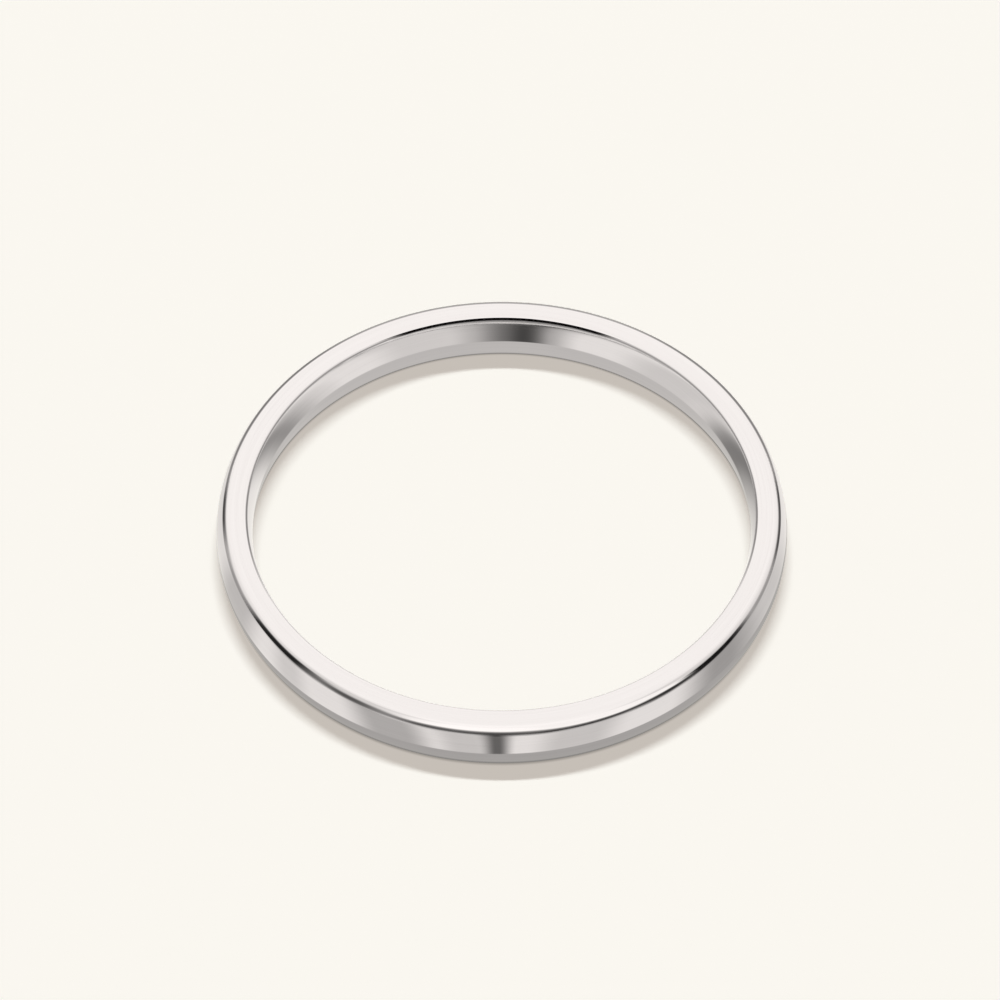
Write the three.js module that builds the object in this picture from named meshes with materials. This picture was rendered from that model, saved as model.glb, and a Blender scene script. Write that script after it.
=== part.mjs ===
// A plain wedding band with a court profile: domed outside, gently domed inside, with two narrow flat
// rims. It is one solid ring of metal, turned from a tube or rolled and soldered shut, then polished.
// Millimetres, +Z up. The ring lies flat: its lower rim is on z = 0 and its axis is the Z axis.

import * as THREE from "three";

// Driving dimensions
const fingerHoleDiameter = 17.3; // at its narrowest, halfway up the ring
const bandWidth = 1.95; // rim to rim, which is the ring's height as it lies
const wallThickness = 1.25; // at its thickest, halfway up the ring
const outerCrown = 0.29; // how far the outside bulges past its own edges
const innerCrown = 0.17; // how far the inside bulges towards the finger
const outerEdgeRadius = 0.27; // softened edge between a rim and the outside
const innerEdgeRadius = 0.12; // softened edge between a rim and the inside

// How finely the round stretches are divided
const stepsAround = 96;
const stepsAcrossDome = 6;
const stepsRoundEdge = 4;

const halfWidth = bandWidth / 2;
const rightAngle = Math.PI / 2;

// The arc of one domed face and the edge arcs that meet it without a crease. Distances are measured
// from the middle of the face: depth goes into the metal, rise goes along the ring's axis.
function domedFace(crown, edgeRadius) {
  const domeRadius = (halfWidth ** 2 + crown ** 2) / (2 * crown);
  const edgeRise = halfWidth - edgeRadius;
  const reach = Math.sqrt((domeRadius - edgeRadius) ** 2 - edgeRise ** 2);
  return {
    domeRadius,
    edgeRadius,
    edgeRise,
    edgeDepth: domeRadius - reach,
    meetingAngle: Math.atan2(edgeRise, reach),
  };
}

function arcPoints(x, y, radius, from, to, steps) {
  const clockwise = to < from;
  return new THREE.EllipseCurve(x, y, radius, radius, from, to, clockwise).getPoints(steps);
}

// The outside half of the outline, from the lower rim up to the upper rim.
function outsideOutline(surfaceRadius, face) {
  const edgeX = surfaceRadius - face.edgeDepth;
  const domeX = surfaceRadius - face.domeRadius;
  const { domeRadius, edgeRadius, edgeRise, meetingAngle } = face;
  return [
    arcPoints(edgeX, -edgeRise, edgeRadius, -rightAngle, -meetingAngle, stepsRoundEdge),
    arcPoints(domeX, 0, domeRadius, -meetingAngle, meetingAngle, stepsAcrossDome),
    arcPoints(edgeX, edgeRise, edgeRadius, meetingAngle, rightAngle, stepsRoundEdge),
  ].flat();
}

// The inside is the same outline turned half round, about the inside's own surface.
function insideOutline(surfaceRadius, face) {
  return outsideOutline(0, face).map((point) => new THREE.Vector2(surfaceRadius - point.x, -point.y));
}

function bandOutline() {
  const fingerRadius = fingerHoleDiameter / 2;
  const outside = outsideOutline(fingerRadius + wallThickness, domedFace(outerCrown, outerEdgeRadius));
  const inside = insideOutline(fingerRadius, domedFace(innerCrown, innerEdgeRadius));
  const outline = [...outside, ...inside].filter(
    (point, i, all) => i === 0 || point.distanceTo(all[i - 1]) > 1e-9,
  );
  return [...outline, outline[0].clone()];
}

function makeBand() {
  const geometry = new THREE.LatheGeometry(bandOutline(), stepsAround);
  geometry.rotateX(rightAngle); // the lathe turns about Y, the ring's axis is Z
  const polishedWhiteGold = new THREE.MeshStandardMaterial({
    color: 0xd6d3cf,
    roughness: 0.12,
    metalness: 1,
  });
  const band = new THREE.Mesh(geometry, polishedWhiteGold);
  band.name = "band";
  band.position.z = halfWidth;
  return band;
}

const weddingBand = new THREE.Group();
weddingBand.name = "wedding_band";
weddingBand.add(makeBand());

export default weddingBand;
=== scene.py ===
# %% [markdown]
# # A polished court-profile wedding band
#
# The object is a plain wedding band in white gold. It is one solid ring of metal, domed outside,
# gently domed inside so that it slides over a knuckle, and it has two narrow flat rims. The packed
# CAD model gives its size and its place. Blender makes the same ring again with far finer curves,
# because a mirror finish shows every facet, and gives it the finish of a jeweller's polish.

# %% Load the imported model
import math

import bmesh
import bpy
from mathutils import Matrix, Vector


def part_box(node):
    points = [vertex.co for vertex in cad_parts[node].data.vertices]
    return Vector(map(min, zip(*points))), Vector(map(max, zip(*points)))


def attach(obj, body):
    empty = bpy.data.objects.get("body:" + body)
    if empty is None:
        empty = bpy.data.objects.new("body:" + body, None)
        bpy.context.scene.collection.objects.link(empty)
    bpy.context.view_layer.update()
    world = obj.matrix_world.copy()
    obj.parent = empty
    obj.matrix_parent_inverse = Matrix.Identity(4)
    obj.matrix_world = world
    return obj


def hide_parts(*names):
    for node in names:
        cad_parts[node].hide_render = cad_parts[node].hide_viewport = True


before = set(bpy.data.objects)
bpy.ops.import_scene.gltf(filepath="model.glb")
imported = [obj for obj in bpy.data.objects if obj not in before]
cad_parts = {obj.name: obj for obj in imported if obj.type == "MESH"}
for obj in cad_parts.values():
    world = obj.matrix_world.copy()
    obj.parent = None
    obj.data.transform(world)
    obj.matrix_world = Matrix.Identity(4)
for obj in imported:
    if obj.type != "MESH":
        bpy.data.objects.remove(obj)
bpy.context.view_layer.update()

MM = 0.001
scene = bpy.context.scene

# %% [markdown]
# ## Sizes
#
# The height, the outer radius and the finger hole are read from the frame, so the fine ring always
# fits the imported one. What is left are the sizes that a ring maker calls the profile: how far each
# domed face bulges past its own edges, and how far each edge is softened. They are the CAD's own.

# %% The band's sizes
band_low, band_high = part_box("band")
half_width = (band_high.z - band_low.z) / 2
outer_radius = band_high.x
finger_radius = min(v.co.xy.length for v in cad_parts["band"].data.vertices)
outer_crown = 0.29 * MM
inner_crown = 0.17 * MM
outer_edge_radius = 0.27 * MM
inner_edge_radius = 0.12 * MM
print(f"finger hole {2 * finger_radius / MM:.2f} mm, wall {(outer_radius - finger_radius) / MM:.2f} mm")

# %% [markdown]
# ## Camera
#
# The ring lies flat and is seen from the front and well above, through a long lens that hardly
# makes the near side larger than the far side. The camera looks along +Y. It is made first, so
# that every later choice can be judged through it. A Track To constraint could aim it, but turning
# it by three plain angles says exactly how it stands.

# %% Camera
camera_elevation = math.radians(50.497)
camera_distance = 0.29104
look_down = math.radians(50.182)
look_right = math.radians(-0.018)
roll = math.radians(-0.156)
camera_back = camera_distance * math.cos(camera_elevation)
camera_height = camera_distance * math.sin(camera_elevation)

camera = bpy.data.objects.new("camera", bpy.data.cameras.new("camera"))
scene.collection.objects.link(camera)
scene.camera = camera
camera.data.sensor_width = 36
camera.data.lens = 301.03
camera.matrix_world = (
    Matrix.Translation((0, -camera_back, camera_height))
    @ Matrix.Rotation(-look_right, 4, "Z")
    @ Matrix.Rotation(math.pi / 2 - look_down, 4, "X")
    @ Matrix.Rotation(roll, 4, "Z")
)
print("camera at", [round(v / MM) for v in camera.matrix_world.translation], "mm")

# %% [markdown]
# ## The outline of the metal
#
# A ring maker turns this shape on a lathe, so the natural way is to draw the outline of the metal
# once and spin it. The outline is made of arcs that meet without a crease: a wide arc for each
# domed face and a small one for each softened edge. One vertex is swept round the centre of each
# arc in turn, which is exactly what a compass does. Beveling a box would round the edges too, but
# it can't give the two domes their different curves.

# %% Arcs of one domed face
def domed_face(crown, edge_radius):
    """The radius of a domed face, where its edge arcs are centred, and the angle at which they meet."""
    dome_radius = (half_width**2 + crown**2) / (2 * crown)
    edge_rise = half_width - edge_radius
    # an edge arc touches the dome from within, so the two radii differ by what parts their centres
    reach = math.sqrt((dome_radius - edge_radius) ** 2 - edge_rise**2)
    return {
        "dome_radius": dome_radius,
        "edge_depth": dome_radius - reach,
        "edge_rise": edge_rise,
        "meeting_angle": math.atan2(edge_rise, reach),
    }


outside = domed_face(outer_crown, outer_edge_radius)
inside = domed_face(inner_crown, inner_edge_radius)
for name, face in (("outside", outside), ("inside", inside)):
    print(f"{name}: dome radius {face['dome_radius'] / MM:.2f} mm")

# %% Strokes of the outline
STEPS_PER_DOME = 28
STEPS_PER_EDGE = 12
QUARTER = math.pi / 2
SUPPORT = 0.04  # share of a flat rim kept as a thin strip at each side, so that it shades truly flat


def sweep(outline, tip, centre_x, centre_z, angle, steps):
    """Sweeps the outline's last vertex round a centre, towards the top from the outside."""
    made = bmesh.ops.spin(
        outline,
        geom=[tip],
        cent=(centre_x, 0, half_width + centre_z),
        axis=(0, -1, 0),
        angle=angle,
        steps=steps,
    )
    return next(g for g in made["geom_last"] if isinstance(g, bmesh.types.BMVert))


def draw_flat(outline, tip, to_x):
    """Carries the outline straight across a flat rim, in a thin, a wide and a thin strip."""
    start = tip.co.copy()
    for share in (SUPPORT, 1 - SUPPORT, 1):
        made = bmesh.ops.extrude_vert_indiv(outline, verts=[tip])
        tip = made["verts"][0]
        tip.co.x = start.x + share * (to_x - start.x)
    return tip


def draw_face(outline, tip, face, surface_x, side):
    """Half the outline: an edge arc, the dome and the other edge arc. side is 1 outside, -1 inside."""
    edge_x = surface_x - side * face["edge_depth"]
    dome_x = surface_x - side * face["dome_radius"]
    rise = side * face["edge_rise"]
    edge_angle = QUARTER - face["meeting_angle"]
    tip = sweep(outline, tip, edge_x, -rise, edge_angle, STEPS_PER_EDGE)
    tip = sweep(outline, tip, dome_x, 0, 2 * face["meeting_angle"], STEPS_PER_DOME)
    return sweep(outline, tip, edge_x, rise, edge_angle, STEPS_PER_EDGE)


# %% Draw the outline
SAME_POINT = MM / 10000  # two points closer than this are merged

outer_rim_radius = outer_radius - outside["edge_depth"]
inner_rim_radius = finger_radius + inside["edge_depth"]
metal = bmesh.new()
tip = metal.verts.new((outer_rim_radius, 0, 0))
tip = draw_face(metal, tip, outside, outer_radius, 1)
tip = draw_flat(metal, tip, inner_rim_radius)
tip = draw_face(metal, tip, inside, finger_radius, -1)
draw_flat(metal, tip, outer_rim_radius)
bmesh.ops.remove_doubles(metal, verts=metal.verts[:], dist=SAME_POINT)
print("outline:", len(metal.verts), "points, flat rims",
      round((outer_rim_radius - inner_rim_radius) / MM, 3), "mm wide")

# %% [markdown]
# ## The ring
#
# The outline goes once round the ring's axis, as the blank does on a lathe. A Screw modifier would
# do the same, but the spin leaves a finished mesh that needs nothing more. The last outline is
# merged with the first, so the ring has no seam, and the steps are so many that no facet shows.

# %% Spin the outline into the ring
STEPS_AROUND = 512

bmesh.ops.spin(
    metal,
    geom=metal.verts[:] + metal.edges[:],
    cent=(0, 0, 0),
    axis=(0, 0, 1),
    angle=2 * math.pi,
    steps=STEPS_AROUND,
    use_merge=True,
)
bmesh.ops.remove_doubles(metal, verts=metal.verts[:], dist=SAME_POINT)
bmesh.ops.recalc_face_normals(metal, faces=metal.faces[:])
for face in metal.faces:
    face.smooth = True
mesh = bpy.data.meshes.new("polished_band")
metal.to_mesh(mesh)
metal.free()
band = bpy.data.objects.new("polished_band", mesh)
scene.collection.objects.link(band)
print("band:", 2 * len(mesh.polygons), "triangles")

# %% [markdown]
# ## Polished white gold
#
# White gold is gold whitened with palladium or nickel, and mopped to a mirror with rouge on a felt
# wheel. Its own colour is a light and almost neutral grey, and everything else that the eye sees on
# it, the slight warmth too, is the room. A Principled shader with one roughness all over would look
# like chrome plate, so the polish is built from what really disturbs it: hairlines, smudges and
# worn edges. Each is a pattern in the shader and not in the mesh, because it is finer than a face.

# %% Helpers for colours and nodes
def linear(hex_colour):
    """An sRGB hex colour as the linear RGBA that a socket takes."""
    parts = [int(hex_colour[i : i + 2], 16) / 255 for i in (0, 2, 4)]
    return (*(p / 12.92 if p <= 0.04045 else ((p + 0.055) / 1.055) ** 2.4 for p in parts), 1)


def add(tree, kind, inputs=None, **settings):
    """Adds a node, sets its settings, and links or fills its inputs."""
    made = tree.nodes.new(kind)
    for name, value in settings.items():
        setattr(made, name, value)
    for socket, value in (inputs or {}).items():
        if isinstance(value, bpy.types.NodeSocket):
            tree.links.new(value, made.inputs[socket])
        else:
            made.inputs[socket].default_value = value
    return made


def empty_tree(owner):
    """The owner's node tree with nothing in it."""
    owner.use_nodes = True
    owner.node_tree.nodes.clear()
    return owner.node_tree


# %% Places on the ring
def place_on_ring(tree):
    """A point of the metal in mm, its distance from the ring's axis, and its height."""
    place = add(tree, "ShaderNodeTexCoord").outputs["Object"]
    in_mm = add(tree, "ShaderNodeVectorMath", {0: place, "Scale": 1 / MM}, operation="SCALE").outputs[0]
    level = add(tree, "ShaderNodeVectorMath", {0: in_mm, 1: (1, 1, 0)}, operation="MULTIPLY").outputs[0]
    radius = add(tree, "ShaderNodeVectorMath", {0: level}, operation="LENGTH").outputs["Value"]
    height = add(tree, "ShaderNodeSeparateXYZ", {0: in_mm}).outputs["Z"]
    return in_mm, radius, height


# %% [markdown]
# ### Hairlines
#
# The polishing wheel runs round the ring, so its last marks run round it too, and blur a reflection
# a little along the ring's axis. A Wave texture would draw them as even as a record's groove. Noise
# is uneven as the real ones are, once it is stretched round the ring and squeezed in two ways: up
# the walls by the height, and across the flat rims by the distance from the axis, which is fed to
# the noise as its fourth dimension.

# %% Hairlines
# Real hairlines are a tenth of this width, and would be lost in a picture of the whole ring.
HAIRLINE_WIDTH = 0.06
HAIRLINE_LENGTH = 6.0
HAIRLINE_SPAN = (0.3, 0.7)  # the noise where a hairline starts, and where it is whole


def wheel_hairlines(tree, in_mm, radius):
    """Noise drawn out into fine lines round the ring."""
    stretch = (1 / HAIRLINE_LENGTH, 1 / HAIRLINE_LENGTH, 1 / HAIRLINE_WIDTH)
    along = add(tree, "ShaderNodeVectorMath", {0: in_mm, 1: stretch}, operation="MULTIPLY").outputs[0]
    across = add(tree, "ShaderNodeMath", {0: radius, 1: 1 / HAIRLINE_WIDTH}, operation="MULTIPLY").outputs[0]
    return add(
        tree,
        "ShaderNodeTexNoise",
        {"Vector": along, "W": across, "Scale": 1.0, "Detail": 3.0, "Roughness": 0.6},
        noise_dimensions="4D",
    ).outputs["Fac"]


print(f"hairlines: {HAIRLINE_WIDTH} mm wide and {HAIRLINE_LENGTH} mm long")

# %% [markdown]
# ### Smudges and worn edges
#
# Fingers leave a faint bloom in soft patches, which is a coarse noise with only its high parts
# kept. Edges meet keys and door handles, so there the polish wears in tiny nicks. Painting them by
# hand would tie them to one mesh. Here they are a fine noise, kept to where the surface turns over
# from a flat rim to a dome: near the top or the bottom of the ring, and off the flat of the rim.

# %% Smudges and worn edges
SMUDGE_WIDTH = 2.2
SMUDGE_SPAN = (0.45, 0.75)
NICK_WIDTH = 0.35
NICK_SPAN = (0.45, 0.7)
EDGE_BLEND = 0.04  # how softly the wear starts beside the flat of a rim


def finger_smudges(tree, in_mm):
    """Noise in soft patches."""
    inputs = {"Vector": in_mm, "Scale": 1 / SMUDGE_WIDTH, "Detail": 2.0}
    return add(tree, "ShaderNodeTexNoise", inputs).outputs["Fac"]


def worn_edges(tree, in_mm, radius, height):
    """1 in the nicks along the softened edges, and 0 on the domes and the flat rims."""
    from_middle = add(
        tree, "ShaderNodeMath", {0: height, 1: half_width / MM, 2: 0.0}, operation="SUBTRACT"
    ).outputs[0]
    # the wear starts about where the dome ends, and is whole two thirds of the way up the edge
    near_rim = add(
        tree,
        "ShaderNodeMapRange",
        {
            0: add(tree, "ShaderNodeMath", {0: from_middle}, operation="ABSOLUTE").outputs[0],
            1: (half_width - outer_edge_radius) / MM,
            2: (half_width - outer_edge_radius / 3) / MM,
        },
        interpolation_type="SMOOTHSTEP",
    ).outputs[0]
    rim_middle = (inner_rim_radius + outer_rim_radius) / 2 / MM
    rim_reach = (outer_rim_radius - inner_rim_radius) / 2 / MM
    off_middle = add(tree, "ShaderNodeMath", {0: radius, 1: rim_middle}, operation="SUBTRACT").outputs[0]
    off_flat = add(
        tree,
        "ShaderNodeMapRange",
        {
            0: add(tree, "ShaderNodeMath", {0: off_middle}, operation="ABSOLUTE").outputs[0],
            1: rim_reach - EDGE_BLEND,
            2: rim_reach + EDGE_BLEND,
        },
        interpolation_type="SMOOTHSTEP",
    ).outputs[0]
    inputs = {"Vector": in_mm, "Scale": 1 / NICK_WIDTH, "Detail": 4.0}
    nicks = add(tree, "ShaderNodeTexNoise", inputs).outputs["Fac"]
    worn = add(tree, "ShaderNodeMapRange", {0: nicks, 1: NICK_SPAN[0], 2: NICK_SPAN[1]}).outputs[0]
    edge = add(tree, "ShaderNodeMath", {0: near_rim, 1: off_flat}, operation="MULTIPLY").outputs[0]
    return add(tree, "ShaderNodeMath", {0: edge, 1: worn}, operation="MULTIPLY").outputs[0]


print(f"smudges {SMUDGE_WIDTH} mm and nicks {NICK_WIDTH} mm wide")

# %% [markdown]
# ### The finish
#
# The three patterns come together in one Principled shader. Each of them blurs the mirror a little,
# the smudges least, and the hairlines also dull the colour slightly and stand up as a faint relief.
# A separate glossy shader for each could be mixed in, but adding up their roughness costs less and
# stays one clean surface. Metallic at 1 makes it a metal: the base colour is then the tint of its
# mirror image, and the IOR keeps its default.

# %% The finish of the metal
BRIGHT_GOLD = linear("E8E6EA")  # between the hairlines, the clear grey of a fresh polish
DULL_GOLD = linear("DDDADE")  # in the hairlines, a breath darker
MIRROR_ROUGHNESS = 0.020
HAIRLINE_ROUGHNESS = 0.090
SMUDGE_ROUGHNESS = 0.03
WEAR_ROUGHNESS = 0.06
HAIRLINE_DEPTH = 0.0006 * MM


def polished_white_gold():
    """Mirror-polished metal. All sizes in its patterns are in mm."""
    material = bpy.data.materials.new("polished_white_gold")
    tree = empty_tree(material)
    in_mm, radius, height = place_on_ring(tree)
    hairlines = wheel_hairlines(tree, in_mm, radius)
    smudges = finger_smudges(tree, in_mm)
    wear = worn_edges(tree, in_mm, radius, height)
    low, high = HAIRLINE_SPAN
    inputs = {0: hairlines, 1: low, 2: high, 3: MIRROR_ROUGHNESS, 4: HAIRLINE_ROUGHNESS}
    polish = add(tree, "ShaderNodeMapRange", inputs).outputs[0]
    low, high = SMUDGE_SPAN
    inputs = {0: smudges, 1: low, 2: high, 3: 0.0, 4: SMUDGE_ROUGHNESS}
    bloom = add(tree, "ShaderNodeMapRange", inputs).outputs[0]
    handled = add(tree, "ShaderNodeMath", {0: polish, 1: bloom}, operation="ADD").outputs[0]
    roughness = add(
        tree, "ShaderNodeMath", {0: wear, 1: WEAR_ROUGHNESS, 2: handled}, operation="MULTIPLY_ADD"
    ).outputs[0]
    colour = add(
        tree, "ShaderNodeMix", {0: hairlines, 6: BRIGHT_GOLD, 7: DULL_GOLD}, data_type="RGBA"
    ).outputs[2]
    relief = add(
        tree, "ShaderNodeBump", {"Height": hairlines, "Distance": HAIRLINE_DEPTH, "Strength": 1.0}
    ).outputs[0]
    surface = add(
        tree,
        "ShaderNodeBsdfPrincipled",
        {"Base Color": colour, "Metallic": 1.0, "Roughness": roughness, "Normal": relief},
    )
    add(tree, "ShaderNodeOutputMaterial", {"Surface": surface.outputs[0]})
    return material


white_gold = polished_white_gold()
mesh.materials.append(white_gold)
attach(band, "root")
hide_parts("band")
print("finish:", white_gold.name, "with", len(white_gold.node_tree.nodes), "nodes")

# %% [markdown]
# ## Lighting a mirror
#
# A plain polished ring is a mirror, so it is lit by giving it something to mirror: pale panels for
# the highlights, and grey or black cards for the lines that draw its shape. An HDR picture of a
# studio would be quicker, but each card made by name can be moved by itself. All of them have soft
# borders, and all are placed by their bearing round the ring, where 0 is the camera's side, 90 is
# its right and 180 is behind. A card is a mask, 1 inside its border and 0 outside, that lays a tone
# over what is behind it.

# %% Soft borders
def between(tree, value, low, low_softness, high, high_softness):
    """1 where a value lies between low and high, with a soft step at each end."""
    up = add(
        tree,
        "ShaderNodeMapRange",
        {0: value, 1: low - low_softness, 2: low + low_softness},
        interpolation_type="SMOOTHSTEP",
    ).outputs[0]
    down = add(
        tree,
        "ShaderNodeMapRange",
        {0: value, 1: high + high_softness, 2: high - high_softness},
        interpolation_type="SMOOTHSTEP",
    ).outputs[0]
    return add(tree, "ShaderNodeMath", {0: up, 1: down}, operation="MULTIPLY").outputs[0]


def lay_over(tree, behind, tone, mask):
    """A tone laid over what is behind it, where the mask is 1."""
    return add(tree, "ShaderNodeMix", {0: mask, 2: behind, 3: tone}).outputs[0]


# %% Pieces of the studio
def stage_piece(name, mesh_maker, surface_maker):
    """An object for the studio, made from a bmesh and a shader."""
    shape = bmesh.new()
    mesh_maker(shape)
    data = bpy.data.meshes.new(name)
    shape.to_mesh(data)
    shape.free()
    made = bpy.data.objects.new(name, data)
    scene.collection.objects.link(made)
    material = bpy.data.materials.new(name)
    tree = empty_tree(material)
    add(tree, "ShaderNodeOutputMaterial", {"Surface": surface_maker(tree)})
    data.materials.append(material)
    return made


# %% [markdown]
# ## The table
#
# The ring lies on a light table: a pale cream sheet that is lit about half by its own glow from
# below, and half by a lamp from above. The glow fills the shadow evenly, where a lamp alone would
# leave a dark pool. Right beside the metal, where the softened lower edges overhang, the glow is
# turned down as a painted contact shadow. The table is hidden from reflections, because what the
# metal should see of it is painted separately below, on sheets that only the metal sees.

# %% Table
TABLE_COLOUR = linear("FAF7F0")
LAMP_SHARE = (0.409, 0.440, 0.457)  # the part of the table's light that comes from the lamp above
TABLE_RADIUS = 3.0
ROUND_STEPS = 180
# painted contact shadow: in this band beside the metal the table's glow is turned down
PAINTED_CONTACT_SHADE = (8.81 * MM, 0.06 * MM, 9.66 * MM, 0.07 * MM)  # nearest, softness, farthest, softness
PAINTED_CONTACT_SHADE_GLOW = 0.60


def light_table(tree):
    """Matt cream, lit from above and glowing from below, with painted contact shade."""
    place = add(tree, "ShaderNodeTexCoord").outputs["Object"]
    from_axis = add(tree, "ShaderNodeVectorMath", {0: place}, operation="LENGTH").outputs["Value"]
    # painted contact shadow: the glow is dimmed round the ring's footprint
    painted_contact = between(tree, from_axis, *PAINTED_CONTACT_SHADE)
    strength = lay_over(tree, 1.0, PAINTED_CONTACT_SHADE_GLOW, painted_contact)
    glow = tuple(whole * (1 - lamp) for whole, lamp in zip(TABLE_COLOUR, LAMP_SHARE))
    lit = add(tree, "ShaderNodeBsdfDiffuse", {"Color": TABLE_COLOUR})
    below = add(tree, "ShaderNodeEmission", {"Color": (*glow, 1), "Strength": strength})
    return add(tree, "ShaderNodeAddShader", {0: lit.outputs[0], 1: below.outputs[0]}).outputs[0]


def round_sheet(shape):
    """A flat disc."""
    bmesh.ops.create_circle(shape, cap_ends=True, radius=TABLE_RADIUS, segments=ROUND_STEPS)


table = stage_piece("table", round_sheet, light_table)
table.visible_glossy = False
print("table:", 2 * TABLE_RADIUS, "m across")

# %% [markdown]
# ## The lamp
#
# One long narrow softbox hangs high behind the ring. Because it is long, the shadow's ends are
# soft, and because it is narrow, the shadow's front edge is crisp. A round or square light of the
# same size would soften both alike. It hangs far away, so that the table is evenly lit as far as
# the eye can see.

# %% Lamp
LAMP_HEIGHT = 12.0
LAMP_BACK = 0.3445 * LAMP_HEIGHT
LAMP_LENGTH = 0.44 * LAMP_HEIGHT
LAMP_WIDTH = 0.05 * LAMP_HEIGHT
LONG_LAMP = 1.03  # the ends of a long lamp hang a little farther away, which this makes up for

lamp = bpy.data.objects.new("lamp", bpy.data.lights.new("lamp", "AREA"))
scene.collection.objects.link(lamp)
lamp.data.shape = "RECTANGLE"
lamp.data.size = LAMP_LENGTH
lamp.data.size_y = LAMP_WIDTH
lamp.location = (0, LAMP_BACK, LAMP_HEIGHT)
lamp.rotation_euler = (-math.atan2(LAMP_BACK, LAMP_HEIGHT), 0, 0)
lamp.data.color = LAMP_SHARE
# P watts at a distance d give a white sheet a brightness of P cos(tilt) / (pi d)^2
lamp_distance = math.hypot(LAMP_HEIGHT, LAMP_BACK)
lamp.data.energy = LONG_LAMP * (math.pi * lamp_distance) ** 2 * lamp_distance / LAMP_HEIGHT
lamp.visible_glossy = False
lamp.visible_camera = False
scene.cycles.caustics_reflective = False  # the mirror walls throw no bright fringe on the table
print("lamp:", round(lamp.data.energy), "W")

# %% [markdown]
# ## The cards on the table
#
# The walls of the ring look down at the table beside them. Strips of grey card lie there, fanned
# out from a point where the curved wall gathers its reflections, so that each strip is mirrored as
# an upright stripe. Close to the metal a grey painted shadow of the ring lies on the sheets, which
# the walls mirror as a grey band along their lower half, and right under the softened lower edges
# a dark band is painted where no light comes in. Strips of mesh would do, but their borders would
# be sharp. One sheet inside the ring and one round it carry them all as masks, and nothing but the
# metal sees these two glowing sheets: they are a painted reflection of the table.

# %% Strips of card
OUTSIDE_STRIPS = [  # bearing from the fan's point, half the strip's angle and softness in degrees, tone
    (-128, 14, 8, 0.90),
    (-102, 8, 5, 0.67),
    (-79, 5, 4, 0.82),
    (-42.5, 12, 7, 0.56),
    (-14, 9, 6, 0.75),
    (-2.0, 4.2, 3.5, 0.17),
    (29, 13, 7, 0.76),
    (100, 14, 8, 0.76),
    (82, 11, 9, 0.44),
]
INSIDE_STRIPS = [
    (-152, 13, 7, 0.83),
    (-115, 6, 4, 0.88),
    (-101, 9, 9, 0.38),
    (78, 8, 5, 0.80),
    (94, 11, 10, 0.27),
    (121, 13, 8, 0.80),
    (176, 20, 5, 0.66),
    (175, 11, 7, 0.24),
    (172, 5, 5, 0.08),
]
print("strips:", len(OUTSIDE_STRIPS), "outside the ring and", len(INSIDE_STRIPS), "inside")

# %% Bearings
def level_direction(tree, place, centre=(0, 0, 0)):
    """The level unit vector to a place from a centre."""
    moved = add(tree, "ShaderNodeVectorMath", {0: place, 1: centre}, operation="SUBTRACT").outputs[0]
    level = add(tree, "ShaderNodeVectorMath", {0: moved, 1: (1, 1, 0)}, operation="MULTIPLY").outputs[0]
    return add(tree, "ShaderNodeVectorMath", {0: level}, operation="NORMALIZE").outputs[0]


def towards(tree, direction, bearing, half_angle, softness):
    """1 within half_angle degrees of a bearing, with a soft border."""
    turn = math.radians(bearing)
    facing = add(
        tree,
        "ShaderNodeVectorMath",
        {0: direction, 1: (math.sin(turn), -math.cos(turn), 0)},
        operation="DOT_PRODUCT",
    ).outputs["Value"]
    angle = add(tree, "ShaderNodeMath", {0: facing}, operation="ARCCOSINE").outputs[0]
    degrees = add(tree, "ShaderNodeMath", {0: angle}, operation="DEGREES").outputs[0]
    return add(
        tree,
        "ShaderNodeMapRange",
        {0: degrees, 1: half_angle + softness, 2: half_angle - softness},
        interpolation_type="SMOOTHSTEP",
    ).outputs[0]


# %% Cards and painted shadow, in tones
BARE_TABLE = 1.02
DARK_CARD = (-0.4 * MM, 1.6 * MM, 0)  # a small round one, in front of the inner fan's point
DARK_CARD_REACH = (-1.0 * MM, 0.5 * MM, 1.00 * MM, 0.60 * MM)  # from below 0, so it has no hole
DARK_CARD_TONE = 0.36
# painted shade on the mirrored sheets: the ring's shadow and the dark gap under its softened edges
PAINTED_SHADOW_SOFTNESS = 0.05 * MM
PAINTED_GAP_SHADE = (8.78 * MM, 0.05 * MM, 9.67 * MM, 0.14 * MM)  # nearest, softness, farthest, softness
PAINTED_GAP_SHADE_TONE = 0.10


def tone_of_cards(tree, place, fan_point, strips):
    """The bare table with strips fanned out from a point, and the small dark card, laid over it."""
    direction = level_direction(tree, place, fan_point)
    tone = BARE_TABLE
    for bearing, half_angle, softness, strip_tone in strips:
        strip = towards(tree, direction, bearing, half_angle, softness)
        tone = lay_over(tree, tone, strip_tone, strip)
    from_dark = add(tree, "ShaderNodeVectorMath", {0: place, 1: DARK_CARD}, operation="DISTANCE")
    dark = between(tree, from_dark.outputs["Value"], *DARK_CARD_REACH)
    return lay_over(tree, tone, DARK_CARD_TONE, dark)


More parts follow.
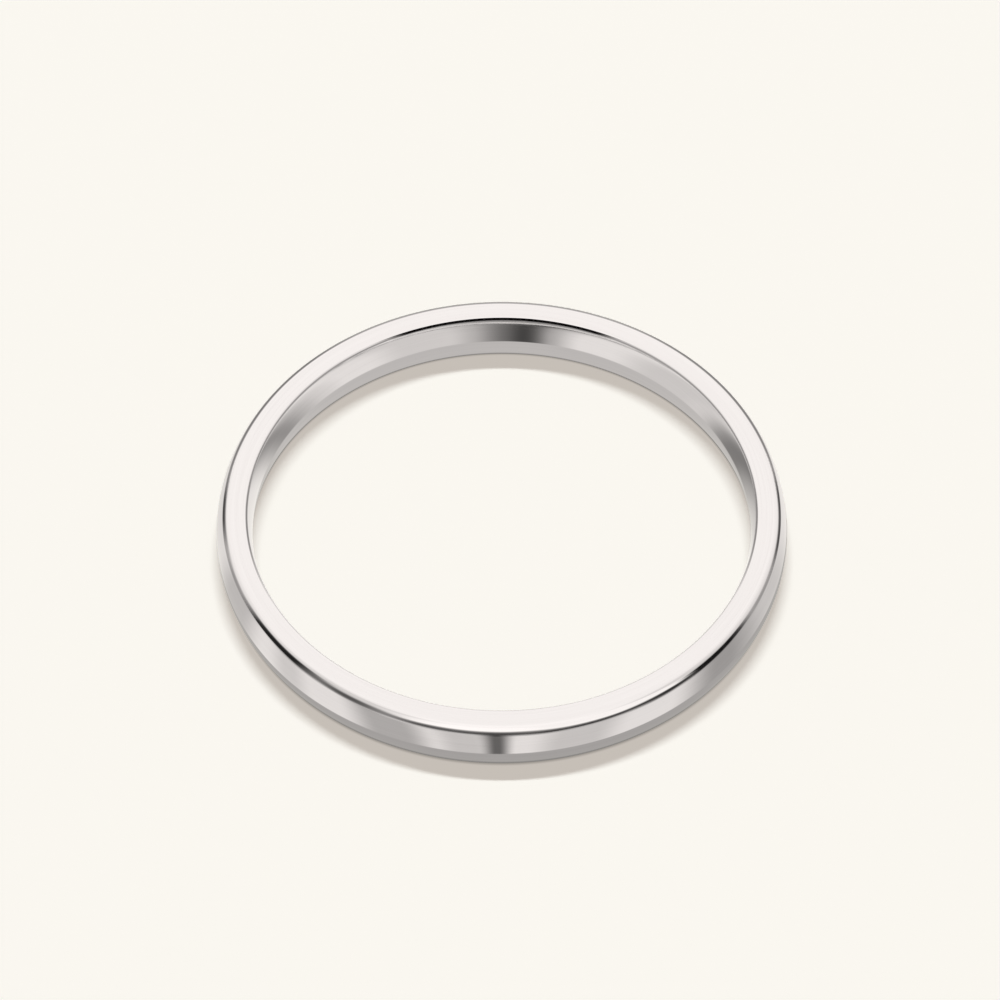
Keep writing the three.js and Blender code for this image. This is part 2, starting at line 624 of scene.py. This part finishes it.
def lay_painted_shadow(tree, place, tone, is_inside, centre, radius, painted_shadow_tone):
    """A tone with the ring's painted shadow, past a circle inside it and within one round it."""
    # painted shadow: a grey circle where the lamp's shadow lies on the table
    from_centre = add(tree, "ShaderNodeVectorMath", {0: place, 1: centre}, operation="DISTANCE")
    edge = PAINTED_SHADOW_SOFTNESS if is_inside else -PAINTED_SHADOW_SOFTNESS
    shadow = add(
        tree,
        "ShaderNodeMapRange",
        {0: from_centre.outputs["Value"], 1: radius - edge, 2: radius + edge},
        interpolation_type="SMOOTHSTEP",
    ).outputs[0]
    tone = lay_over(tree, tone, painted_shadow_tone, shadow)
    # painted shade: a dark band right under the metal's softened edges
    from_axis = add(tree, "ShaderNodeVectorMath", {0: place}, operation="LENGTH").outputs["Value"]
    return lay_over(tree, tone, PAINTED_GAP_SHADE_TONE, between(tree, from_axis, *PAINTED_GAP_SHADE))


# %% Sheets of cards
SHEET_RADIUS = 25 * MM
MIDDLE_OF_METAL = 9.18 * MM  # the middle of the rim that the ring lies on


def cream(tree, tone):
    """A tone in the cream of the table."""
    tint = add(tree, "ShaderNodeVectorMath", {0: TABLE_COLOUR[:3], "Scale": tone}, operation="SCALE")
    return tint.outputs[0]


def only_mirrored(piece):
    """Hides a piece from everything but the mirror of the metal."""
    piece.visible_camera = piece.visible_diffuse = piece.visible_shadow = False


def card_sheet(name, is_inside, fan_point, strips, shadow):
    """A flat sheet of cards: a disc inside the ring, or a washer round it, that meet under the metal."""
    def shape_of(shape):
        bmesh.ops.create_circle(shape, cap_ends=is_inside, radius=MIDDLE_OF_METAL, segments=ROUND_STEPS)
        if not is_inside:
            grown = bmesh.ops.extrude_edge_only(shape, edges=shape.edges[:])["geom"]
            outer = [g for g in grown if isinstance(g, bmesh.types.BMVert)]
            growth = SHEET_RADIUS / MIDDLE_OF_METAL
            bmesh.ops.scale(shape, vec=(growth, growth, 1), verts=outer)

    def surface_of(tree):
        place = add(tree, "ShaderNodeTexCoord").outputs["Object"]
        tone = tone_of_cards(tree, place, fan_point, strips)
        # the ring's shadow and the gap under it are painted onto the sheet, not cast
        tone = lay_painted_shadow(tree, place, tone, is_inside, *shadow)
        return add(tree, "ShaderNodeEmission", {"Color": cream(tree, tone)}).outputs[0]

    only_mirrored(stage_piece(name, shape_of, surface_of))


OUTSIDE_FAN = (0, -5.1 * MM, 0)
# painted shadow of the ring on each sheet, a grey circle
OUTSIDE_PAINTED_SHADOW = ((0.15 * MM, -0.28 * MM, 0), 10.2 * MM, 0.49)  # centre, radius, tone
INSIDE_FAN = (0, 3.35 * MM, 0)
INSIDE_PAINTED_SHADOW = ((0, -0.86 * MM, 0), 8.83 * MM, 0.665)
card_sheet("cards_outside", False, OUTSIDE_FAN, OUTSIDE_STRIPS, OUTSIDE_PAINTED_SHADOW)
card_sheet("cards_inside", True, INSIDE_FAN, INSIDE_STRIPS, INSIDE_PAINTED_SHADOW)
print(f"sheets: they meet {MIDDLE_OF_METAL / MM:.2f} mm from the axis, under the metal")

# %% [markdown]
# ## Standing cards
#
# Low cards stand near the ring and draw the dark lines along its softened edges. Each is a stretch
# of upright wall, curved round the ring's axis, with ends, a foot and a top that fade out. Seen from
# the camera, the flat rim looks up and away over them and mirrors none. Flat cards would do as well
# in a real studio, but a curved one keeps its distance, so its line stays as thick all the way. The
# cards inside the ring have white backs, so that the near side of the ring, which sees them from
# behind, mirrors white and not black.

# %% Standing cards
STANDING_CARDS = [  # name, radius, bearing, half angle, softness, foot, softness, top, softness, tone
    ("card_left", 12.5, -61, 13, 7, 1.35, 0.25, 5.5, 1.5, 0.02),
    ("card_left_front", 12.5, -38, 9, 8, 1.50, 0.25, 3.5, 0.9, 0.12),
    ("card_right", 12.5, 58, 11, 4, 1.30, 0.16, 4.2, 0.6, 0.01),
    ("card_right_front", 12.5, 42, 8, 8, 1.35, 0.20, 2.7, 0.6, 0.04),
    ("card_side_left", 12.5, -82, 9, 9, 1.15, 0.40, 3.8, 1.2, 0.40),
    ("card_far_left", 12.5, -101, 9, 7, 1.10, 0.50, 4.3, 1.7, 0.08),
    ("card_rear_left", 12.5, -128, 20, 8, 1.10, 0.45, 3.3, 0.9, 0.25),
    ("card_side_right", 12.5, 77, 9, 7, 1.15, 0.40, 3.6, 1.2, 0.42),
    ("card_far_right", 12.5, 98, 13, 6, 1.20, 0.45, 3.6, 1.0, 0.10),
    ("card_rear_right", 12.5, 130, 20, 8, 1.10, 0.45, 3.2, 0.9, 0.28),
    ("card_behind", 12.6, 180, 62, 12, -0.1, 0.05, 3.6, 0.8, 0.50),
    ("card_inside", 8.0, 180, 23, 2.5, 1.66, 0.10, 5.6, 0.8, 0.0),
    ("card_inside_wide", 7.9, 180, 75, 10, 1.78, 0.10, 3.0, 0.5, 0.40),
    ("card_inside_left", 8.2, -92, 16, 12, 1.78, 0.10, 3.0, 0.6, 0.33),
    ("card_inside_right", 8.2, 92, 16, 12, 1.78, 0.10, 3.0, 0.6, 0.33),
    ("white_back", 7.8, 180, 25, 2.5, 1.66, 0.10, 5.6, 0.8, 0.98),
    ("white_back_wide", 7.7, 180, 80, 10, 1.60, 0.10, 3.4, 0.5, 0.98),
]
CARD_STEPS = 48


def window(tree, direction, height, bearing, half_angle, softness, *heights):
    """1 within half_angle degrees of a bearing and between two heights, all softly."""
    sides = towards(tree, direction, bearing, half_angle, softness)
    reach = between(tree, height, *heights)
    return add(tree, "ShaderNodeMath", {0: sides, 1: reach}, operation="MULTIPLY").outputs[0]


def standing_card(name, radius, bearing, half_angle, softness, foot, foot_softness, top, top_softness, tone):
    """An upright card, all of its sizes in mm and degrees."""
    def shape_of(shape):
        reach = math.radians(half_angle + softness)
        turn = math.radians(bearing) - reach
        low = Vector((radius * math.sin(turn), -radius * math.cos(turn), foot - foot_softness)) * MM
        high = low + Vector((0, 0, top + top_softness - foot + foot_softness)) * MM
        edge = shape.edges.new([shape.verts.new(low), shape.verts.new(high)])
        geom = [*edge.verts, edge]
        bmesh.ops.spin(shape, geom=geom, cent=(0, 0, 0), axis=(0, 0, 1), angle=2 * reach, steps=CARD_STEPS)

    def surface_of(tree):
        place = add(tree, "ShaderNodeTexCoord").outputs["Object"]
        direction = level_direction(tree, place)
        height = add(tree, "ShaderNodeSeparateXYZ", {0: place}).outputs["Z"]
        heights = [size * MM for size in (foot, foot_softness, top, top_softness)]
        mask = window(tree, direction, height, bearing, half_angle, softness, *heights)
        clear = add(tree, "ShaderNodeBsdfTransparent").outputs[0]
        card = add(tree, "ShaderNodeEmission", {"Color": cream(tree, tone)}).outputs[0]
        return add(tree, "ShaderNodeMixShader", {0: mask, 1: clear, 2: card}).outputs[0]

    only_mirrored(stage_piece(name, shape_of, surface_of))


for row in STANDING_CARDS:
    standing_card(*row)
print("standing cards:", len(STANDING_CARDS))

# %% [markdown]
# ## The studio
#
# Above the table the ring is surrounded by pale panels. The flat rim mirrors the one behind, the
# rounded front edge mirrors the one over the camera, and between the two the light is a little
# lower. They are far away, so they are drawn on the world's background and need no mesh. The camera
# itself sees only the cream of the table all the way up, so that the table has no horizon.

# %% Studio
BASE_TONE = 0.50
# All in degrees but the tone. A half angle of 200 is all round, and 100 up is past the top.
PANELS = [  # bearing, half angle, softness, lowest, softness, highest, softness, tone
    (0, 200, 10, -95, 1, -2, 2, 0.80),
    (0, 200, 10, 40, 14, 100, 5, 0.90),
    (180, 80, 20, -3, 6, 100, 5, 0.95),
    (180, 45, 45, -5, 10, 100, 5, 1.24),
    (0, 42, 20, 17, 8, 100, 5, 1.38),
    (44, 30, 8, 9, 6, 100, 5, 1.28),
    (0, 200, 10, 72, 10, 100, 5, 1.32),
    (-12, 24, 10, -3, 3, 5, 5, 0.08),
    (38, 30, 8, -4, 3, 3, 4, 0.05),
    (-2, 4, 4, -9, 1, 3, 2, 0.08),
]


def studio(tree):
    """The panels, laid one over the other, and plain cream for the camera."""
    direction = add(tree, "ShaderNodeTexCoord").outputs["Generated"]
    level = level_direction(tree, direction)
    height = add(tree, "ShaderNodeSeparateXYZ", {0: direction}).outputs["Z"]
    angle = add(tree, "ShaderNodeMath", {0: height}, operation="ARCSINE").outputs[0]
    elevation = add(tree, "ShaderNodeMath", {0: angle}, operation="DEGREES").outputs[0]
    tone = BASE_TONE
    for *place, panel_tone in PANELS:
        tone = lay_over(tree, tone, panel_tone, window(tree, level, elevation, *place))
    by_camera = add(tree, "ShaderNodeLightPath").outputs["Is Camera Ray"]
    shown = lay_over(tree, tone, 1.0, by_camera)
    return add(tree, "ShaderNodeBackground", {"Color": cream(tree, shown)}).outputs[0]


world = bpy.data.worlds.new("studio")
scene.world = world
tree = empty_tree(world)
add(tree, "ShaderNodeOutputWorld", {"Surface": studio(tree)})
world.cycles_visibility.diffuse = False
scene.view_settings.view_transform = "Standard"
print("panels:", len(PANELS))
